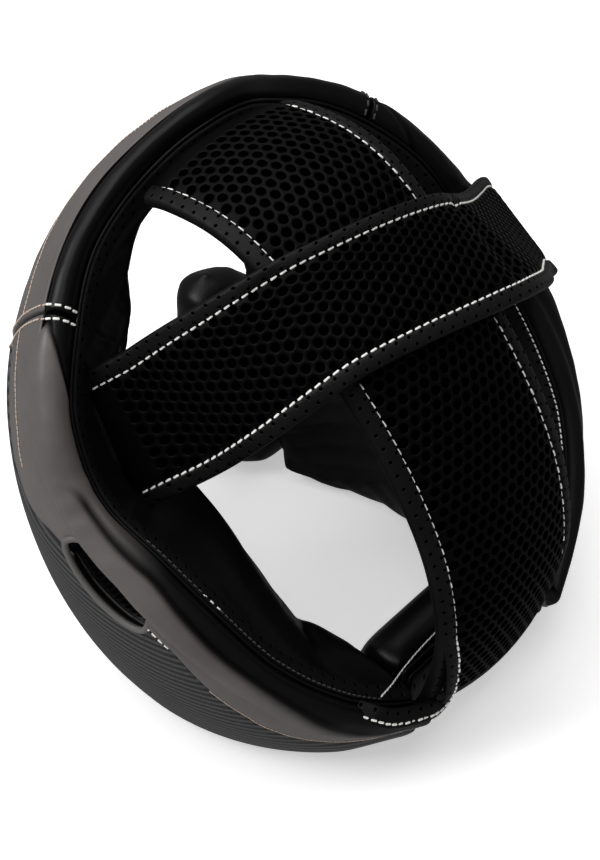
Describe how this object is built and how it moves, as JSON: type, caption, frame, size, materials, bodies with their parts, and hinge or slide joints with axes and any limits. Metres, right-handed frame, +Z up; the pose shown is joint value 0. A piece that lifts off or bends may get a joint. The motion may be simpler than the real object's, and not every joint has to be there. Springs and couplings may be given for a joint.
{
  "type": "martial arts head guard",
  "caption": "Padded leather head guard with a rolled rim, open face and crown, mesh crown panel, mesh cross strap and nape closure.",
  "frame": {"origin": "middle of the bounding box at floor level, where the flat base rests", "axes": "+Z up, +X towards the wearer's left, the face opening towards -Y"},
  "size_m": [0.2516, 0.219, 0.224],
  "materials": {
    "grey_leather": "satin grey leather",
    "black_leather": "smooth black leather",
    "twill": "dark twill weave",
    "piping": "satin pale grey piping",
    "perforated": "black perforated binding",
    "mesh": "black spacer mesh"
  },
  "bodies": {
    "root": {"forehead_cover": "grey_leather", "forehead_liner": "black_leather", "side_cover_left": "grey_leather", "side_cover_right": "grey_leather", "ear_panel_left": "twill", "ear_panel_right": "twill", "side_liner_left": "black_leather", "side_liner_right": "black_leather", "ear_piping_left": "piping", "ear_piping_right": "piping", "cheek_pad_left": "black_leather", "cheek_pad_right": "black_leather", "crown_binding_left": "perforated", "crown_binding_right": "perforated", "rim_binding": "perforated", "crown_panel": "mesh", "cross_strap": "mesh", "strap_binding_front": "perforated", "strap_binding_rear": "perforated", "nape_pad": "black_leather", "nape_binding": "perforated", "nape_backing": "perforated"}
  },
  "joints": []
}
